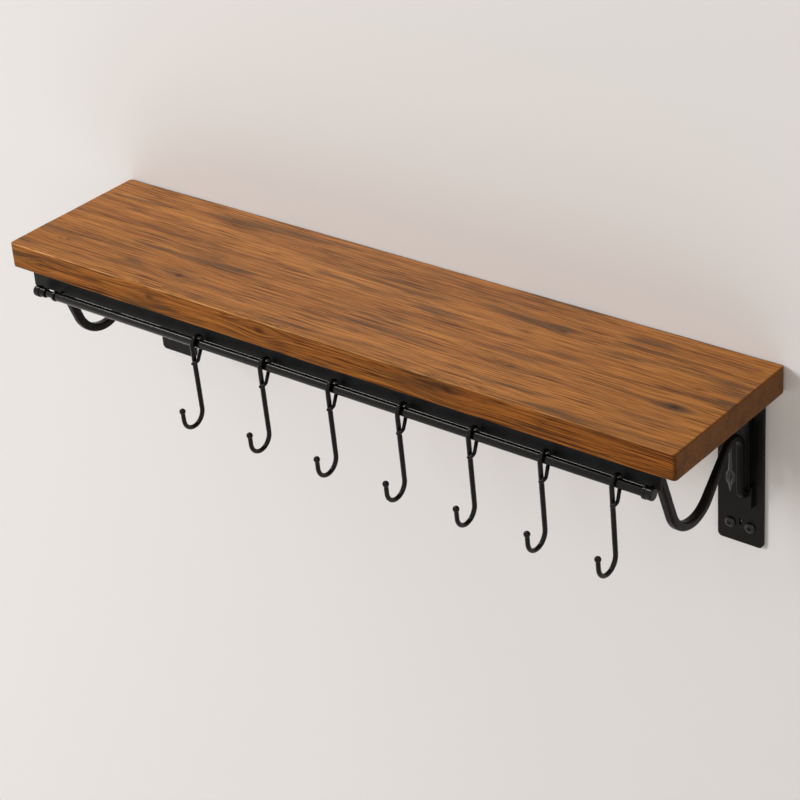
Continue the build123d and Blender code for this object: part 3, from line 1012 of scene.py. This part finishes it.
# The drop's black is lighter than the arms', painted light on it in the shade of the board
drop_painted_light_finish = black_iron("black_drop", (0.018, 0.018, 0.017), 0.20, 0.60, pebble_mm=0.006, dent_mm=0.02)
for side in sides:
    drop_low, drop_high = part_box(f"arm_drop_{side}")
    crown = (drop_low + drop_high) / 2
    crown.z = drop_high.z + DROP_RISE
    mesh = drop_recipe.run(points_at([crown]), drop_painted_light_finish)
    hang(f"arm_drop_{side}_turned", mesh, f"arm_drop_{side}")
print("drops of", len(mesh.polygons), "faces each")

# %% [markdown]
# Every screw is the same tool's work: a pan head with a cross recess, a plain neck and a thread to
# the point. The recipe turns the shank, flattens half a ball into the head, cuts the recess with
# two bars and a cone, and winds a ridge round the shank for the thread.

# %% One screw
HEAD_RIM = 1 * MM
RIDGE = 0.5 * MM
TAPER = 4.5 * MM
HEAD_SEGMENTS, HEAD_RINGS, RIM_SHARE = 40, 28, 0.11
RECESS_DEEP, PIT_WIDE, PIT_POINT, PIT_SINK = 0.8, 0.36, 0.2 * MM, 0.55
screw_recipe = Recipe(
    "pan_head_screw",
    head=12.5 * MM,
    head_height=3.6 * MM,
    recess=5.6 * MM,
    slot=1.3 * MM,
    neck=4.2 * MM,
    neck_length=4 * MM,
    thread=4.8 * MM,
    pitch=2.1 * MM,
    length=50 * MM,
    turn=0.0,
    seed=1,
)
sized = screw_recipe.size
shank_end = sized("length")
core = sized("thread") / 2 - RIDGE


def shank_radius(depth, angle):
    """How thick the screw is at a depth, all round: its neck, its core and its point."""
    plain = (depth - sized("neck_length")).ramp(0.0, 0.4 * MM)
    body = sized("neck") / 2 * (1 - plain) + core * plain
    return body.least((shank_end - depth) / TAPER * core + 0.15 * MM)


def shifted(shape, up):
    """The shape, moved along the screw's own axis."""
    place = screw_recipe.vector(0.0, 0.0, up)
    return screw_recipe.node("GeometryNodeTransform", None, shape, Translation=place)


def without(shape, cutter):
    """The shape with the cutter taken out of it."""
    return screw_recipe.node("GeometryNodeMeshBoolean", {"operation": "DIFFERENCE"}, shape, cutter)


def screw_head():
    """Half a ball, flattened to a pan with an upright rim, less its recess."""
    ball = screw_recipe.node("GeometryNodeMeshUVSphere", None, HEAD_SEGMENTS, HEAD_RINGS, 1.0)
    x, y, z = screw_recipe.split(screw_recipe.node("GeometryNodeInputPosition"))
    up = z.most(0.0)
    crown = up * (sized("head_height") - HEAD_RIM) + (up / RIM_SHARE).least(1.0) * HEAD_RIM
    spread = sized("head") / 2
    pan = screw_recipe.vector(x * spread, y * spread, crown)
    head = screw_recipe.node("GeometryNodeSetPosition", None, ball, Position=pan)
    deep = sized("head_height") * RECESS_DEEP
    for wide, tall in ((sized("recess"), sized("slot")), (sized("slot"), sized("recess"))):
        blade = screw_recipe.node("GeometryNodeMeshCube", None, screw_recipe.vector(wide, tall, deep))
        head = without(head, shifted(blade, sized("head_height")))
    pit_radius = sized("recess") * PIT_WIDE
    pit = screw_recipe.node(
        "GeometryNodeMeshCone", {"fill_type": "NGON"}, 16, 1, 1, pit_radius, PIT_POINT, deep
    )
    return without(head, shifted(shifted(pit, sized("head_height")), deep * -PIT_SINK))


def thread_ridge(start, height, first_radius, last_radius):
    """A four-sided ridge wound down the shank."""
    turns = height / sized("pitch")
    helix = screw_recipe.node("GeometryNodeCurveSpiral", None, 16, turns, first_radius, last_radius, height)
    below = screw_recipe.vector(0.0, 0.0, start * -1)
    helix = screw_recipe.node("GeometryNodeTransform", None, helix, Translation=below, Rotation=(pi, 0, 0))
    upright = screw_recipe.node("GeometryNodeSetCurveNormal", {"mode": "Z_UP"}, helix)
    ridge = screw_recipe.node("GeometryNodeCurvePrimitiveCircle", {"mode": "RADIUS"}, 4, Radius=RIDGE)
    return screw_recipe.node("GeometryNodeCurveToMesh", None, upright, ridge, 1.0, True)


shank = turned(screw_recipe, shank_end, rows=80, facets=20, radius_at=shank_radius)
straight = shank_end - sized("neck_length") - TAPER
thread = thread_ridge(sized("neck_length"), straight, core, core)
point = thread_ridge(shank_end - TAPER, TAPER * 0.9, core, 0.3 * MM)
screw = screw_recipe.join(screw_head(), shank, thread, point)
print("screw recipe of", len(screw_recipe.tree.nodes), "nodes")

# %% [markdown]
# The wall screws stand in fours, one near each corner of a plate, and the board screws in twos in
# each support bar. Their places come from the boxes of the model's own screws. The recipe sets
# its screw on each of these points, turned to its own angle, since nobody lines up the slots,
# and the same recipe makes the smaller screws from other sizes.

# %% The screws in their places
aim = screw_recipe.node("FunctionNodeEulerToRotation", None, screw_recipe.vector(sized("turn"), 0.0, 0.0))
placed = screw_recipe.node("GeometryNodeInstanceOnPoints", None, sized("Start"), None, screw, Rotation=aim)
spin = screw_recipe.node(
    "FunctionNodeRandomValue", {"data_type": "FLOAT"}, None, None, 0.0, pi / 2, Seed=sized("seed")
).other(1)
own_angle = screw_recipe.node("FunctionNodeEulerToRotation", None, screw_recipe.vector(0.0, 0.0, spin))
screw_recipe.close(screw_recipe.node("GeometryNodeRotateInstances", None, placed, None, own_angle))

WALL_HEAD, BOARD_HEAD = 12.5 * MM, 8.5 * MM
for number, side in enumerate(sides):
    low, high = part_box(f"wall_screws_{side}")
    plate_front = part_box(f"wall_plate_{side}")[0].y
    inset = WALL_HEAD / 2
    rows = (low.x + inset, high.x - inset)
    places = [(x, plate_front, z) for x in rows for z in (low.z + inset, high.z - inset)]
    mesh = screw_recipe.run(
        points_at(places), screw_finish, turn=pi / 2, seed=number, head_height=plate_front - low.y,
        length=high.y - plate_front,
    )
    hang(f"wall_screws_{side}_turned", mesh, f"wall_screws_{side}")
    low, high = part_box(f"board_screws_{side}")
    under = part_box(f"support_bar_{side}")[0].z
    inset = BOARD_HEAD / 2
    places = [((low.x + high.x) / 2, y, under) for y in (low.y + inset, high.y - inset)]
    mesh = screw_recipe.run(
        points_at(places), zinc_finish, turn=pi, seed=number + 2, head=BOARD_HEAD, head_height=under - low.z,
        recess=4.2 * MM, slot=1.1 * MM, neck=3.4 * MM, neck_length=5 * MM, thread=4 * MM, pitch=1.8 * MM,
        length=high.z - under,
    )
    hang(f"board_screws_{side}_turned", mesh, f"board_screws_{side}")
print("screws of", len(mesh.polygons) // 2, "faces each")
